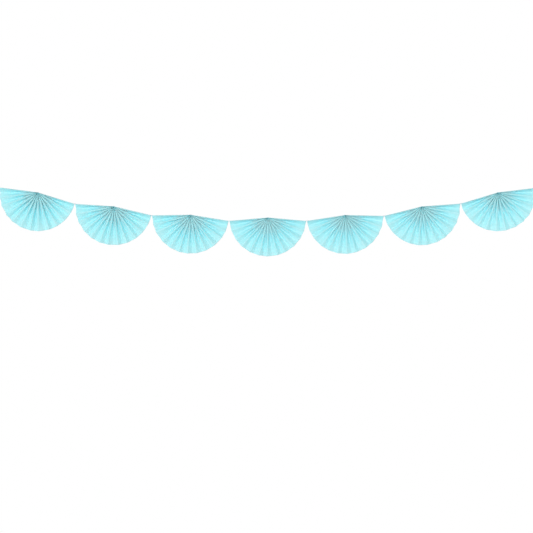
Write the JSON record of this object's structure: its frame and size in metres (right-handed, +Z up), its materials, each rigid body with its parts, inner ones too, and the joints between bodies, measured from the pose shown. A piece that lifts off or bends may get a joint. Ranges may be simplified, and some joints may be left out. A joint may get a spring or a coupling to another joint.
{
  "type": "paper rosette garland",
  "caption": "Hanging garland of half-round pleated tissue fans, each between two stiff card strips, linked corner to corner by thread, with an eyelet at each end.",
  "frame": {"origin": "middle of the eyelet at the garland's left end, halfway through its card", "axes": "+X along the garland to its other end, +Z up, -Y is the side that faces the room"},
  "size_m": [2.7904, 0.0274, 0.3587],
  "materials": {
    "tissue_paper": "matt crinkled tissue, aqua",
    "end_card": "matt dyed card, aqua",
    "thread": "white twisted cotton thread"
  },
  "bodies": {
    "root": {"fan_1": "tissue_paper", "left_card_1": "end_card", "right_card_1": "end_card", "hub_stitch_1": "thread", "fan_2": "tissue_paper", "left_card_2": "end_card", "right_card_2": "end_card", "hub_stitch_2": "thread", "fan_3": "tissue_paper", "left_card_3": "end_card", "right_card_3": "end_card", "hub_stitch_3": "thread", "fan_4": "tissue_paper", "left_card_4": "end_card", "right_card_4": "end_card", "hub_stitch_4": "thread", "fan_5": "tissue_paper", "left_card_5": "end_card", "right_card_5": "end_card", "hub_stitch_5": "thread", "fan_6": "tissue_paper", "left_card_6": "end_card", "right_card_6": "end_card", "hub_stitch_6": "thread", "fan_7": "tissue_paper", "left_card_7": "end_card", "right_card_7": "end_card", "hub_stitch_7": "thread", "corner_tie_1": "thread", "corner_tie_2": "thread", "corner_tie_3": "thread", "corner_tie_4": "thread", "corner_tie_5": "thread", "corner_tie_6": "thread"}
  },
  "joints": []
}
